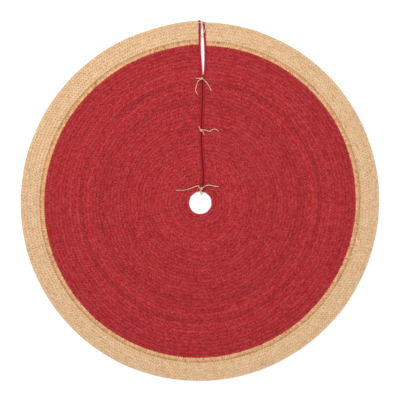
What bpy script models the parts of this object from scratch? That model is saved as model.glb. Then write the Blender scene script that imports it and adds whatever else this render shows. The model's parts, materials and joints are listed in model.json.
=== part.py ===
"""Round tree skirt of flat jute braid, slit from its trunk hole to its rim and tied shut.

Metres, +Z up. The origin is the centre of the rim circle, on the floor, and the slit runs
towards +Y. The braid turns are sewn side by side. They are modelled in bands of a few turns,
in four quarters that fold on each other along the slit's line and across the hole.
"""

import math

import bmesh
import bpy
from mathutils import Vector

# The mat
HOLE_RADIUS = 0.041
HOLE_SHIFT_Y = -0.0055  # the hole lies a little off the rim's centre, away from the slit
BRAID_WIDTH = 0.01212
FIELD_BANDS = 6
TURNS_PER_BAND = 7
ACCENT_TURNS = 1
BORDER_TURNS = 6
THICKNESS = 0.007
GROOVE_DEPTH = 0.0014  # between two turns, where they are sewn together

# The slit, whose closed part is straight and whose outer part stands open like a lens
SLIT_X = 0.0085
LENS_START_Y = 0.438
LEFT_EDGE_PULL = 0.0043
RIGHT_EDGE_BULGE = 0.0070
RIGHT_EDGE_PULL = 0.0032

# The tape that binds the slit's edges, and its seam
BINDING_WIDTH = 0.0075
TAPE_THICKNESS = 0.0008
TAPE_ROUND = 0.0008
BRAID_END_INSET = 0.0030  # how far the braid's cut ends stop short of the slit's edge
PINCH_SLOPE = 0.0012
SEAM_INSET = 0.0050
SEAM_THREAD_DIAMETER = 0.0008

# The twine that ties the slit
TWINE_DIAMETER = 0.003
KNOT_HALF_SIZE = Vector((0.0040, 0.0044, 0.0035))

# Fits
GAP = 0.0003
FOLD_CLEARANCE = 0.0016

# Worked out from the sizes above
RIM_RADIUS = HOLE_RADIUS + BRAID_WIDTH * (FIELD_BANDS * TURNS_PER_BAND + ACCENT_TURNS + BORDER_TURNS)
SEAM_Z = THICKNESS + GAP + SEAM_THREAD_DIAMETER / 2
KNOT_Z = THICKNESS + GAP + SEAM_THREAD_DIAMETER + GAP + KNOT_HALF_SIZE.z
FLAP_FOLD_Z = (THICKNESS + KNOT_Z + KNOT_HALF_SIZE.z + FOLD_CLEARANCE) / 2
HALF_FOLD_Z = 2 * FLAP_FOLD_Z + FOLD_CLEARANCE / 2

# How finely curves are faceted
ARC_STEPS = 10  # along each quarter of a turn
LENS_STEPS = 10
TWINE_STEP = 0.0072

LEFT, RIGHT = -1, 1
BACK, FRONT = -1, 1
SIDE_NAMES = {LEFT: "left", RIGHT: "right"}
END_NAMES = {BACK: "back", FRONT: "front"}

# Routes of the loose twine, from the knot or the tape outwards: (x, y, height above the mat's face)
TWINES = {
    "hole_tie_loop": (
        LEFT,
        [
            (0.0028, 0.0387, 0.0038),
            (0.0028, 0.0345, 0.0031),
            (0.0022, 0.0295, 0.0002),
            (0.0034, 0.0245, -0.0022),
            (0.0067, 0.0222, -0.0032),
            (0.0096, 0.0250, -0.0024),
            (0.0096, 0.0285, -0.0004),
            (0.0064, 0.0335, 0.0031),
            (0.0062, 0.0387, 0.0038),
        ],
    ),
    "hole_tie_left_tail": (
        LEFT,
        [
            (-0.0006, 0.0455, 0.0042),
            (-0.0040, 0.0525, 0.0028),
            (-0.0127, 0.0506, 0.0018),
            (-0.0269, 0.0450, 0.0018),
            (-0.0375, 0.0414, 0.0025),
            (-0.0535, 0.0368, 0.0026),
            (-0.0818, 0.0365, 0.0018),
        ],
    ),
    "hole_tie_right_tail": (
        RIGHT,
        [
            (0.0091, 0.0450, 0.0042),
            (0.0114, 0.0451, 0.0040),
            (0.0142, 0.0476, 0.0035),
            (0.0191, 0.0520, 0.0029),
            (0.0297, 0.0549, 0.0020),
            (0.0439, 0.0535, 0.0018),
            (0.0581, 0.0506, 0.0020),
            (0.0680, 0.0499, 0.0018),
        ],
    ),
    "middle_tie_upper_end": (
        LEFT,
        [
            (0.0022, 0.2528, 0.0038),
            (0.0004, 0.2568, 0.0028),
            (-0.0025, 0.2623, 0.0019),
        ],
    ),
    "middle_tie_lower_end": (
        RIGHT,
        [
            (0.0094, 0.2462, 0.0042),
            (0.0114, 0.2450, 0.0040),
            (0.0142, 0.2398, 0.0035),
            (0.0166, 0.2329, 0.0029),
        ],
    ),
    "middle_tie_tail": (
        RIGHT,
        [
            (0.0089, 0.2498, 0.0042),
            (0.0140, 0.2502, 0.0036),
            (0.0212, 0.2489, 0.0026),
            (0.0354, 0.2450, 0.0018),
            (0.0418, 0.2489, 0.0020),
            (0.0531, 0.2528, 0.0024),
            (0.0609, 0.2503, 0.0020),
            (0.0662, 0.2457, 0.0018),
        ],
    ),
    "outer_tie_left_end": (
        LEFT,
        [
            (-0.0003, 0.4320, 0.0042),
            (-0.0050, 0.4322, 0.0030),
            (-0.0120, 0.4312, 0.0019),
        ],
    ),
    "outer_tie_left_tail": (
        LEFT,
        [
            (0.0016, 0.4271, 0.0038),
            (-0.0042, 0.4225, 0.0026),
            (-0.0081, 0.4145, 0.0018),
            (-0.0113, 0.4025, 0.0022),
            (-0.0135, 0.3929, 0.0026),
            (-0.0113, 0.3827, 0.0022),
            (-0.0060, 0.3749, 0.0018),
        ],
    ),
    "outer_tie_right_tail": (
        RIGHT,
        [
            (0.0092, 0.4303, 0.0042),
            (0.0116, 0.4298, 0.0040),
            (0.0156, 0.4265, 0.0035),
            (0.0241, 0.4177, 0.0022),
            (0.0322, 0.4075, 0.0020),
            (0.0414, 0.3890, 0.0018),
        ],
    ),
    "rim_tie_crossing": (
        LEFT,
        [
            (-0.0040, 0.6285, 0.0030),
            (-0.0010, 0.6282, 0.0035),
            (0.0030, 0.6278, 0.0035),
            (0.0090, 0.6288, 0.0042),
        ],
    ),
    "rim_tie_hanging_end": (
        LEFT,
        [
            (0.0062, 0.6262, 0.0028),
            (0.0068, 0.6205, 0.0008),
            (0.0071, 0.6105, -0.0030),
        ],
    ),
    "rim_tie_tail": (
        RIGHT,
        [
            (0.0169, 0.6260, 0.0036),
            (0.0208, 0.6215, 0.0033),
            (0.0205, 0.6131, 0.0033),
            (0.0210, 0.6085, 0.0033),
            (0.0182, 0.6007, 0.0033),
            (0.0132, 0.5905, 0.0026),
            (0.0064, 0.5790, -0.0012),
        ],
    ),
}

# The side that each knot lies on, its place along the slit and its shift away from the slit
KNOTS = {
    "hole_tie_knot": (LEFT, 0.0435, 0.0),
    "middle_tie_knot": (LEFT, 0.2482, 0.0),
    "outer_tie_knot": (LEFT, 0.4312, 0.0),
    "rim_tie_knot": (RIGHT, 0.6294, 0.0008),
}


def clear_scene():
    for thing in list(bpy.data.objects):
        bpy.data.objects.remove(thing, do_unlink=True)


def make_material(name, colour, roughness):
    material = bpy.data.materials.new(name)
    material.use_nodes = True
    shader = material.node_tree.nodes["Principled BSDF"]
    shader.inputs["Base Color"].default_value = (*colour, 1.0)
    shader.inputs["Roughness"].default_value = roughness
    shader.inputs["Metallic"].default_value = 0.0
    return material


def add_mesh(name, mesh, material):
    mesh.shade_smooth()
    mesh.set_sharp_from_angle(angle=math.radians(20))
    mesh.materials.append(material)
    thing = bpy.data.objects.new(name, mesh)
    bpy.context.collection.objects.link(thing)
    return thing


def lofted_mesh(name, sections):
    """A closed solid through equal rings of points, with a flat cap on each end."""
    shape = bmesh.new()
    rings = [[shape.verts.new(point) for point in section] for section in sections]
    count = len(rings[0])
    for ring, following in zip(rings, rings[1:]):
        for i in range(count):
            j = (i + 1) % count
            shape.faces.new((ring[i], ring[j], following[j], following[i]))
    shape.faces.new(rings[0])
    shape.faces.new(reversed(rings[-1]))
    bmesh.ops.recalc_face_normals(shape, faces=shape.faces)
    mesh = bpy.data.meshes.new(name)
    shape.to_mesh(mesh)
    shape.free()
    return mesh


def ring_centre_y(radius):
    """Turns near the hole follow the hole, and turns near the rim follow the rim."""
    return HOLE_SHIFT_Y * (RIM_RADIUS - radius) / (RIM_RADIUS - HOLE_RADIUS)


def slit_edge_x(side, end, y):
    """Where the slit's edge is on one side. On the back half it is the fold line."""
    closed = SLIT_X + side * GAP / 2
    share = (y - LENS_START_Y) / (RIM_RADIUS - LENS_START_Y)
    if end == BACK or share <= 0:
        return closed
    if side == LEFT:
        eased = min(share / 0.6, 1.0)
        return closed - LEFT_EDGE_PULL * eased * eased * (3 - 2 * eased)
    bulge = math.sin(math.pi * min(share, 1.0))
    return closed + RIGHT_EDGE_PULL * share + RIGHT_EDGE_BULGE * bulge


def point_at_slit(radius, side, end, inset):
    """The point of a turn that lies inset from the slit's edge, as (x, y)."""
    centre_y = ring_centre_y(radius)
    x = SLIT_X
    for _ in range(12):
        y = centre_y + end * math.sqrt(radius**2 - x**2)
        x = slit_edge_x(side, end, y) + side * inset
    return x, centre_y + end * math.sqrt(radius**2 - x**2)


def point_at_cross_fold(radius, side, end):
    y = end * GAP / 2
    return side * math.sqrt(radius**2 - (y - ring_centre_y(radius)) ** 2), y


def arc_points(radius, side, end, inset):
    """Points of one turn in one quarter, from the cross fold to inset from the slit's edge."""
    centre_y = ring_centre_y(radius)
    x0, y0 = point_at_cross_fold(radius, side, end)
    x1, y1 = point_at_slit(radius, side, end, inset)
    start = math.atan2(y0 - centre_y, x0)
    stop = math.atan2(y1 - centre_y, x1)
    sweep = (stop - start + math.pi) % (2 * math.pi) - math.pi
    angles = [start + sweep * i / ARC_STEPS for i in range(ARC_STEPS + 1)]
    return [(radius * math.cos(a), centre_y + radius * math.sin(a)) for a in angles]


def band_profile(inner, outer, turns, below):
    """(radius, height) round a band's section: flat below, a ridge for each turn above."""
    flat = [(inner + (outer - inner) * i / below, 0.0) for i in range(below + 1)]
    half_turn = (outer - inner) / (2 * turns)
    ridges = []
    for i in range(2 * turns + 1):
        height = THICKNESS - (GROOVE_DEPTH if i % 2 == 0 else 0.0)
        ridges.append((outer - i * half_turn, height))
    return flat + ridges


def pinched(height):
    """The height of a point of the braid where the tape presses it."""
    low = TAPE_THICKNESS + GAP
    return low + height / THICKNESS * (THICKNESS - 2 * low)


def make_band(name, material, inner, outer, turns, side, end):
    below = math.ceil(turns / 2) if end == FRONT else 1
    profile = band_profile(inner + GAP / 2, outer - GAP / 2, turns, below)
    shoulder = BINDING_WIDTH + GAP + PINCH_SLOPE if end == FRONT else 0.0
    columns = [arc_points(radius, side, end, shoulder) for radius, _ in profile]
    sections = []
    for i in range(ARC_STEPS + 1):
        sections.append([(*column[i], z) for column, (_, z) in zip(columns, profile)])
    if end == FRONT:
        for inset in (BINDING_WIDTH + GAP, BRAID_END_INSET):
            ends = [(*point_at_slit(radius, side, end, inset), pinched(z)) for radius, z in profile]
            sections.append(ends)
    return add_mesh(name, lofted_mesh(name, sections), material)


def make_quarter(side, end, materials):
    """The braid bands of one quarter, from the hole outwards."""
    quarter = f"{SIDE_NAMES[side]}_{END_NAMES[end]}"
    bands = [(f"field_band_{i + 1}", "red_braid", TURNS_PER_BAND) for i in range(FIELD_BANDS)]
    bands.append(("accent_turn", "golden_braid", ACCENT_TURNS))
    bands.append(("border", "natural_braid", BORDER_TURNS))
    pieces = []
    inner = HOLE_RADIUS
    for label, slot, turns in bands:
        outer = inner + turns * BRAID_WIDTH
        pieces.append(make_band(f"{quarter}_{label}", materials[slot], inner, outer, turns, side, end))
        inner = outer
    return pieces


def slit_stations(side):
    """Heights along the slit at which its edge is drawn, from the hole to the rim."""
    start = point_at_slit(HOLE_RADIUS + GAP / 2, side, FRONT, BINDING_WIDTH / 2)[1]
    stop = point_at_slit(RIM_RADIUS - GAP / 2, side, FRONT, BINDING_WIDTH / 2)[1]
    lens = [LENS_START_Y + (stop - LENS_START_Y) * i / LENS_STEPS for i in range(LENS_STEPS + 1)]
    return [start, *lens]


def make_binding(side, material):
    """Tape folded over the pinched braid ends, as a U lying on its side."""
    width, wall, corner, top = BINDING_WIDTH, TAPE_THICKNESS, TAPE_ROUND, THICKNESS
    profile = [(0.0, corner), (corner, 0.0), (width, 0.0), (width, wall), (wall, wall)]
    profile += [(wall, top - wall), (width, top - wall), (width, top), (corner, top), (0.0, top - corner)]
    sections = []
    for y in slit_stations(side):
        edge = slit_edge_x(side, FRONT, y)
        sections.append([(edge + side * inset, y, z) for inset, z in profile])
    name = f"{SIDE_NAMES[side]}_slit_binding"
    return add_mesh(name, lofted_mesh(name, sections), material)


def add_tube(name, points, diameter, material):
    curve = bpy.data.curves.new(name, "CURVE")
    curve.dimensions = "3D"
    curve.bevel_depth = diameter / 2
    curve.bevel_resolution = 2
    curve.use_fill_caps = True
    spline = curve.splines.new("POLY")
    spline.points.add(len(points) - 1)
    for place, point in zip(spline.points, points):
        place.co = (*point, 1.0)
    curve.materials.append(material)
    thing = bpy.data.objects.new(name, curve)
    bpy.context.collection.objects.link(thing)
    return thing


def make_seam(side, material):
    """The thread that closes the tape, lying along its upper face."""
    inset = side * SEAM_INSET
    points = [(slit_edge_x(side, FRONT, y) + inset, y, SEAM_Z) for y in slit_stations(side)]
    return add_tube(f"{SIDE_NAMES[side]}_binding_seam", points, SEAM_THREAD_DIAMETER, material)


def smooth_route(route, step):
    """Evenly spread points on a Catmull-Rom curve through the route's points."""
    places = [Vector((x, y, THICKNESS + height)) for x, y, height in route]
    places = [2 * places[0] - places[1], *places, 2 * places[-1] - places[-2]]
    fine = [places[1]]
    for a, b, c, d in zip(places, places[1:], places[2:], places[3:]):
        for i in range(1, 25):
            t = i / 24
            cubic = (3 * (b - c) + d - a) * t**3 + (2 * a - 5 * b + 4 * c - d) * t**2 + (c - a) * t
            fine.append(b + cubic / 2)
    travelled = [0.0]
    for a, b in zip(fine, fine[1:]):
        travelled.append(travelled[-1] + (b - a).length)
    count = max(3, round(travelled[-1] / step) + 1)
    points = []
    leg = 0
    for i in range(count):
        distance = travelled[-1] * i / (count - 1)
        while leg < len(fine) - 2 and travelled[leg + 1] < distance:
            leg += 1
        share = (distance - travelled[leg]) / (travelled[leg + 1] - travelled[leg])
        points.append(fine[leg].lerp(fine[leg + 1], share))
    return points


def make_knot(name, side, y, shift, material):
    """A tied knot's outer shape, on the tape beside the slit's middle."""
    size = KNOT_HALF_SIZE
    shape = bmesh.new()
    bmesh.ops.create_uvsphere(shape, u_segments=12, v_segments=8, radius=1.0)
    bmesh.ops.scale(shape, vec=size, verts=shape.verts)
    mesh = bpy.data.meshes.new(name)
    shape.to_mesh(mesh)
    shape.free()
    knot = add_mesh(name, mesh, material)
    knot.location = (SLIT_X + side * (size.x + GAP / 2 + shift), y, KNOT_Z)
    return knot


def add_fold_axis(name, location, parent=None):
    axis = bpy.data.objects.new(name, None)
    axis.empty_display_size = 0.05
    bpy.context.collection.objects.link(axis)
    axis.location = location
    bpy.context.view_layer.update()
    hang(axis, parent)
    return axis


def hang(thing, parent):
    """Parents a thing without moving it."""
    if parent is not None:
        thing.parent = parent
        thing.matrix_parent_inverse = parent.matrix_world.inverted()


def main():
    clear_scene()
    materials = {
        "red_braid": make_material("red_braid", (0.42, 0.035, 0.042), 0.85),
        "golden_braid": make_material("golden_braid", (0.66, 0.38, 0.18), 0.85),
        "natural_braid": make_material("natural_braid", (0.73, 0.49, 0.28), 0.85),
        "red_tape": make_material("red_tape", (0.36, 0.012, 0.028), 0.8),
        "red_thread": make_material("red_thread", (0.33, 0.02, 0.03), 0.6),
        "twine": make_material("twine", (0.56, 0.43, 0.30), 0.85),
    }

    # The right back quarter lies still, and each other quarter hangs from its fold's axis
    half_axis = add_fold_axis("half_fold_axis", (SLIT_X, 0.0, HALF_FOLD_Z))
    half_width = RIM_RADIUS / 2
    left_axis = add_fold_axis("left_flap_fold_axis", (-half_width, 0.0, FLAP_FOLD_Z), half_axis)
    right_axis = add_fold_axis("right_flap_fold_axis", (half_width, 0.0, FLAP_FOLD_Z))
    carriers = {
        (RIGHT, BACK): None,
        (LEFT, BACK): half_axis,
        (LEFT, FRONT): left_axis,
        (RIGHT, FRONT): right_axis,
    }
    bpy.context.view_layer.update()

    for (side, end), carrier in carriers.items():
        for piece in make_quarter(side, end, materials):
            hang(piece, carrier)
    for side in (LEFT, RIGHT):
        hang(make_binding(side, materials["red_tape"]), carriers[side, FRONT])
        hang(make_seam(side, materials["red_thread"]), carriers[side, FRONT])
    for name, (side, route) in TWINES.items():
        points = smooth_route(route, TWINE_STEP)
        hang(add_tube(name, points, TWINE_DIAMETER, materials["twine"]), carriers[side, FRONT])
    for name, (side, y, shift) in KNOTS.items():
        hang(make_knot(name, side, y, shift, materials["twine"]), carriers[side, FRONT])


main()
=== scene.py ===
"""A braided jute tree skirt, made round its packed frame: every turn of braid is plaited from
three strands, the slit is bound in folded tape, and twisted twine ties it shut."""

import json
import math

import bpy
import numpy as np
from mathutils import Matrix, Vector


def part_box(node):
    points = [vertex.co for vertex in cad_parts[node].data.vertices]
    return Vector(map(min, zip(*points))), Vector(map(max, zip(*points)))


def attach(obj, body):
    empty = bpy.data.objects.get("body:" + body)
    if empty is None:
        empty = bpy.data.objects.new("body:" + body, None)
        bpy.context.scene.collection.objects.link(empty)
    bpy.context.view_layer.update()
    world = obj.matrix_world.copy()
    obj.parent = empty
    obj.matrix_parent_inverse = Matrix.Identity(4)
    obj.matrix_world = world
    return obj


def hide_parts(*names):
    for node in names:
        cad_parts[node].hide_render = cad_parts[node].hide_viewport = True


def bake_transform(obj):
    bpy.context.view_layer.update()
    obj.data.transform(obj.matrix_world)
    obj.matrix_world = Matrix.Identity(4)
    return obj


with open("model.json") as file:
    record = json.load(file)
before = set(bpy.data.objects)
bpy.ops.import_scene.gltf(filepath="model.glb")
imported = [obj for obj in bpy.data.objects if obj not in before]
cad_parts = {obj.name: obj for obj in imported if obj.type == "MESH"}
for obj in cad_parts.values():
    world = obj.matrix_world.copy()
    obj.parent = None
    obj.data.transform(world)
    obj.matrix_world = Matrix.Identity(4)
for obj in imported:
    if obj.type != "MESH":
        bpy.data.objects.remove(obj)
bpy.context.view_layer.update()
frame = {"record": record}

bl_info = {
    "name": "Braided Tree Skirt",
    "version": (1, 0, 0),
    "blender": (4, 5, 0),
    "location": "View3D > Sidebar > Tree Skirt",
    "description": "Plaits a round jute tree skirt with a bound slit and twine ties",
    "category": "Add Mesh",
}

LEFT, RIGHT = -1, 1
HINGES = {joint["name"]: Vector(joint["pos_m"]) for joint in frame["record"]["behaviour"]["joints"]}
SLIT_X = HINGES["half_fold"].x
FACE_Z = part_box("right_back_border")[1][2]
SIDE_BODY = {LEFT: "left_front", RIGHT: "right_front"}
SIDE_NAME = {LEFT: "left", RIGHT: "right"}


def length_value(name, default, description):
    """A length for the panel, in metres."""
    return bpy.props.FloatProperty(
        name=name, description=description, default=default, min=0.0, unit="LENGTH", precision=5
    )


def count_value(name, default, description):
    """A whole number for the panel."""
    return bpy.props.IntProperty(name=name, description=description, default=default, min=1)


def colour_value(name, default, description):
    """A colour for the panel."""
    return bpy.props.FloatVectorProperty(
        name=name, description=description, default=default, size=3, min=0.0, max=1.0, subtype="COLOR"
    )


class MatSizes(bpy.types.PropertyGroup):
    """The round mat and its slit, at the frame's sizes."""

    hole_radius: length_value("Hole Radius", 0.041, "Radius of the trunk hole")
    hole_shift: bpy.props.FloatProperty(
        name="Hole Shift",
        description="How far the hole lies from the rim's centre, along the slit",
        default=-0.0055,
        unit="LENGTH",
        precision=5,
    )
    braid_width: length_value("Braid Width", 0.01212, "Width of one turn of braid")
    turns_per_band: count_value("Turns per Band", 7, "Braid turns in one band of the red field")
    field_bands: count_value("Field Bands", 6, "Bands in the red field")
    accent_turns: count_value("Accent Turns", 1, "Golden turns round the field")
    border_turns: count_value("Border Turns", 6, "Pale turns round the rim")
    golden_fullness: bpy.props.FloatProperty(
        name="Golden Fullness",
        description="Width of the golden turn over that of the others",
        default=1.4,
        min=0.5,
    )
    lens_start: length_value("Lens Start", 0.438, "Where the closed slit begins to stand open")
    left_pull: length_value("Left Pull", 0.0043, "How far the left edge draws back at the rim")
    right_bulge: length_value("Right Bulge", 0.0070, "How far the right edge bows away half way")
    right_pull: length_value("Right Pull", 0.0032, "How far the right edge draws back at the rim")
    seam_gap: length_value("Gap", 0.0003, "Space between two pieces that touch")


class BraidLook(bpy.types.PropertyGroup):
    """How the jute is plaited and coloured."""

    repeat: length_value("Plait Repeat", 0.030, "Length of one whole crossing of the three strands")
    strand_width: length_value("Strand Width", 0.0068, "Width of a flattened strand")
    strand_height: length_value("Strand Height", 0.0037, "Thickness of a flattened strand")
    sewing_step: length_value("Sewing Step", 0.0028, "Length of one leg of the sewn zigzag")
    sewing_thread: length_value("Sewing Thread", 0.0006, "Thickness of the thread between turns")
    hairs_per_metre: bpy.props.FloatProperty(
        name="Hairs per Metre", description="Loose fibres along each metre of braid", default=45.0, min=0.0
    )
    red: colour_value("Red Jute", (0.385, 0.0006, 0.0014), "The field's jute where the dye is deep")
    pale_red: colour_value("Pale Red Jute", (0.515, 0.053, 0.062), "The field's jute where it is palest")
    golden: colour_value("Golden Jute", (0.59, 0.305, 0.127), "The golden turn's jute at its deepest")
    pale_golden: colour_value("Pale Golden Jute", (0.86, 0.56, 0.30), "The golden turn's jute at its palest")
    natural: colour_value("Natural Jute", (0.61, 0.388, 0.197), "The border's jute at its deepest")
    pale_natural: colour_value("Pale Natural Jute", (0.775, 0.572, 0.376), "The border's jute at its palest")
    # Low tone darkens the jute towards its speck colour: the dye, the dark dashes and the painted shade in
    # the grooves between turns
    red_speck_and_shade: colour_value("Red Speck", (0.17, 0.005, 0.008), "The red jute's specks")
    golden_speck_and_shade: colour_value("Golden Speck", (0.30, 0.11, 0.035), "The golden jute's specks")
    natural_speck_and_shade: colour_value("Natural Speck", (0.42, 0.22, 0.09), "The border's specks")


class TrimLook(bpy.types.PropertyGroup):
    """The slit's tape and thread, and the twine that ties it."""

    tape_width: length_value("Tape Width", 0.0075, "Width of the folded tape on each face")
    tape_thickness: length_value("Tape Thickness", 0.0008, "Thickness of the tape's cloth")
    tape_fold: length_value("Tape Fold", 0.0028, "How far in from its edge the tape begins to curl")
    stitch_pitch: length_value("Stitch Pitch", 0.0046, "Distance from one stitch to the next")
    twine_diameter: length_value("Twine Diameter", 0.003, "Thickness of the three-ply twine")
    twine_pitch: length_value("Twine Pitch", 0.009, "Length in which a ply goes once round")
    tape: colour_value("Tape", (0.45, 0.010, 0.021), "Colour of the binding tape")
    thread: colour_value("Thread", (0.34, 0.006, 0.012), "Colour of the sewing thread")
    twine: colour_value("Twine", (0.48, 0.315, 0.20), "Colour of the jute twine")
    pale_twine: colour_value("Pale Twine", (0.82, 0.61, 0.45), "The twine's palest fibres")
    # Painted shade for the shut slit's groove, with some dirt, darkens the tape's edges towards this colour
    tape_shade_and_dirt: colour_value("Tape Shade And Dirt", (0.24, 0.05, 0.06), "Shade of the tape's worn edges")
    thread_speck: colour_value("Thread Speck", (0.12, 0.004, 0.008), "The thread's specks")
    twine_speck: colour_value("Twine Speck", (0.20, 0.11, 0.06), "The twine's specks")


class StageLook(bpy.types.PropertyGroup):
    """The floor, the lights and the camera above the skirt."""

    view_width: length_value("View Width", 1.416, "Width of floor that the camera takes in")
    view_centre: bpy.props.FloatVectorProperty(
        name="View Centre",
        description="Point of the floor that the camera looks at",
        default=(0.0018, 0.0025),
        size=2,
        unit="LENGTH",
        precision=5,
    )
    floor: colour_value("Floor", (0.93, 0.93, 0.93), "Colour of the floor")


# ---- outline of the mat


def sizes():
    """The mat's sizes, as set in the panel."""
    return bpy.context.scene.skirt_mat


def rim_radius():
    """The mat's radius, which its turns of braid add up to."""
    mat = sizes()
    turns = mat.field_bands * mat.turns_per_band + mat.accent_turns + mat.border_turns
    return mat.hole_radius + turns * mat.braid_width


def ring_centre_y(radius):
    """Turns near the hole follow the hole, and turns near the rim follow the rim."""
    mat = sizes()
    rim = rim_radius()
    return mat.hole_shift * (rim - radius) / (rim - mat.hole_radius)


LEFT_EASE = 0.6  # share of the lens in which the left edge draws back
BULGE_SKEW = 0.62  # below 1, the right edge bows out nearer the hole
BULGE_START = 0.06  # share of it in which the bow begins
SWAY_FADE = 2.5  # how fast the sway dies away in it
# The hand-cut slit sways to and fro: how far along it, and how far to the right, in millimetres
SLIT_SWAY = (
    (30, 2.4), (90, 4.8), (140, 2.4), (215, -2.2), (290, -0.5), (365, 1.7), (440, 2.4), (480, 1.6),
)


def slit_sway(y):
    """How far the slit strays to the right of its straight line."""
    route = smooth_route([(along / 1000, right / 1000, 0) for along, right in SLIT_SWAY], 0.003)
    return np.interp(y, route[:, 0], route[:, 1])


def slit_edge_x(side, y):
    """Where the tape's outer edge lies beside the slit, at each height y."""
    mat = sizes()
    y = np.asarray(y, float)
    share = np.clip((y - mat.lens_start) / (rim_radius() - mat.lens_start), 0, 1)
    if side == LEFT:
        eased = np.minimum(share / LEFT_EASE, 1)
        opened = -mat.left_pull * eased * eased * (3 - 2 * eased)
    else:
        bow = share**BULGE_SKEW * np.minimum(share / BULGE_START, 1) ** 0.5
        opened = mat.right_pull * share + mat.right_bulge * np.sin(math.pi * bow)
    return SLIT_X + side * mat.seam_gap / 2 + opened + slit_sway(y) * (1 - share) ** SWAY_FADE


def angle_at_slit(radius, side, inset):
    """The angle at which a turn comes within inset of the slit's edge, found step by step."""
    centre_y = ring_centre_y(radius)
    x = SLIT_X
    for _ in range(12):
        y = centre_y + math.sqrt(radius**2 - x**2)
        x = float(slit_edge_x(side, y)) + side * inset
    return math.atan2(math.sqrt(radius**2 - x**2), x)


# Each edge is a circle a little out of true. In metres and degrees: how much larger it is, how far it is
# shifted and towards where, and how far it is drawn out into an oval and along which line
HOLE_STRAY = (-0.0006, 0.0030, -30, 0, 0)
FIELD_STRAY = (0.0011, 0.0036, -50, 0.0034, 50)
RIM_STRAY = (-0.0024, 0.0025, -70, 0.0024, 45)
LEFT_END_RISE = 0.0064  # how much further out the rim stands at the slit's left side
LEFT_END_REACH = 0.17  # and how far round the rim that reaches, in radians


def off_circle(stray, angles):
    """How far an edge stands off its true circle at these angles."""
    larger, shift, shift_way, oval, oval_way = stray
    shifted = shift * np.cos(angles - math.radians(shift_way))
    return larger + shifted + oval * np.cos(2 * (angles - math.radians(oval_way)))


def rim_wander(radius, angles):
    """How far a turn stands off its true circle, going over from the hole's stray to the rim's."""
    mat = sizes()
    rim = rim_radius()
    field = mat.hole_radius + mat.field_bands * mat.turns_per_band * mat.braid_width
    inner, middle, outer = (off_circle(edge, angles) for edge in (HOLE_STRAY, FIELD_STRAY, RIM_STRAY))
    if radius < field:
        share = (radius - mat.hole_radius) / (field - mat.hole_radius)
        stray = inner + (middle - inner) * share
    else:
        stray = middle + (outer - middle) * (radius - field) / (rim - field)
        # The golden turn's fullness moves the border's turns out, less and less towards the rim
        golden = mat.accent_turns * mat.braid_width
        extra = mat.braid_width * (mat.golden_fullness - 1) * mat.accent_turns
        stray = stray + extra * np.interp(radius, (field, field + golden, rim), (0, 1, 0))
    from_slit = (angles + math.pi / 2 + SLIT_X / rim) % (2 * math.pi) - math.pi
    left_end = LEFT_END_RISE * np.exp(-((np.abs(from_slit) / LEFT_END_REACH) ** 2.4)) * (from_slit > 0)
    return stray + (radius / rim) ** 3 * left_end


def turn_width(turn):
    """The golden turn is fuller than the rest, and the border's turns are squeezed a little."""
    mat = sizes()
    field = mat.field_bands * mat.turns_per_band
    if turn < field:
        return mat.braid_width
    if turn < field + mat.accent_turns:
        return mat.braid_width * mat.golden_fullness
    return mat.braid_width * (1 - mat.accent_turns * (mat.golden_fullness - 1) / mat.border_turns)


# ---- mesh helpers


def rings_to_mesh(name, tubes, material, body=None):
    """One object of tubes, each entry a batch of them: (tubes, rings, sides, 3) points, then
    their fibre values and (tubes, rings) tones."""
    points, faces, fibres, tones = [], [], [], []
    first = 0
    for rings, fibre, tone in tubes:
        number, count, sides, _ = rings.shape
        here = first + np.arange(number * count * sides).reshape(number, count, sides)
        turned = np.roll(here, -1, axis=2)
        sheath = np.stack([here[:, :-1], turned[:, :-1], turned[:, 1:], here[:, 1:]], axis=-1)
        faces.append(sheath.reshape(-1, 4))
        # Tubes of four or six sides are closed at their ends, and those of three are left open
        for ring in (here[:, 0, ::-1], here[:, -1]):
            for i in range(1, sides - 2, 2):
                faces.append(ring[:, [0, i, i + 1, i + 2]])
        points.append(rings.reshape(-1, 3))
        fibres.append(fibre.reshape(-1, 3))
        tones.append(np.repeat(tone.ravel(), sides))
        first += here.size
    points, faces, fibres, tones = map(np.concatenate, (points, faces, fibres, tones))
    return grid_to_object(name, points, faces, material, body, fibres, tones)


def grid_to_object(name, points, faces, material, body=None, fibre=None, tone=None):
    """An object of four-sided faces, with the values that its material reads at each point."""
    mesh = bpy.data.meshes.new(name)
    mesh.vertices.add(len(points))
    mesh.vertices.foreach_set("co", np.ascontiguousarray(points, np.float32).ravel())
    mesh.loops.add(faces.size)
    mesh.loops.foreach_set("vertex_index", faces.ravel().astype(np.int32))
    mesh.polygons.add(len(faces))
    mesh.polygons.foreach_set("loop_start", np.arange(0, faces.size, 4, dtype=np.int32))
    mesh.update(calc_edges=True)
    mesh.validate()
    if fibre is not None:
        values = mesh.attributes.new("fibre", "FLOAT_VECTOR", "POINT")
        values.data.foreach_set("vector", np.ascontiguousarray(fibre, np.float32).ravel())
    if tone is not None:
        values = mesh.attributes.new("tone", "FLOAT", "POINT")
        values.data.foreach_set("value", np.ascontiguousarray(tone, np.float32))
    mesh.shade_smooth()
    mesh.materials.append(material)
    thing = bpy.data.objects.new(name, mesh)
    bpy.context.collection.objects.link(thing)
    if body:
        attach(thing, body)
    return thing


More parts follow.
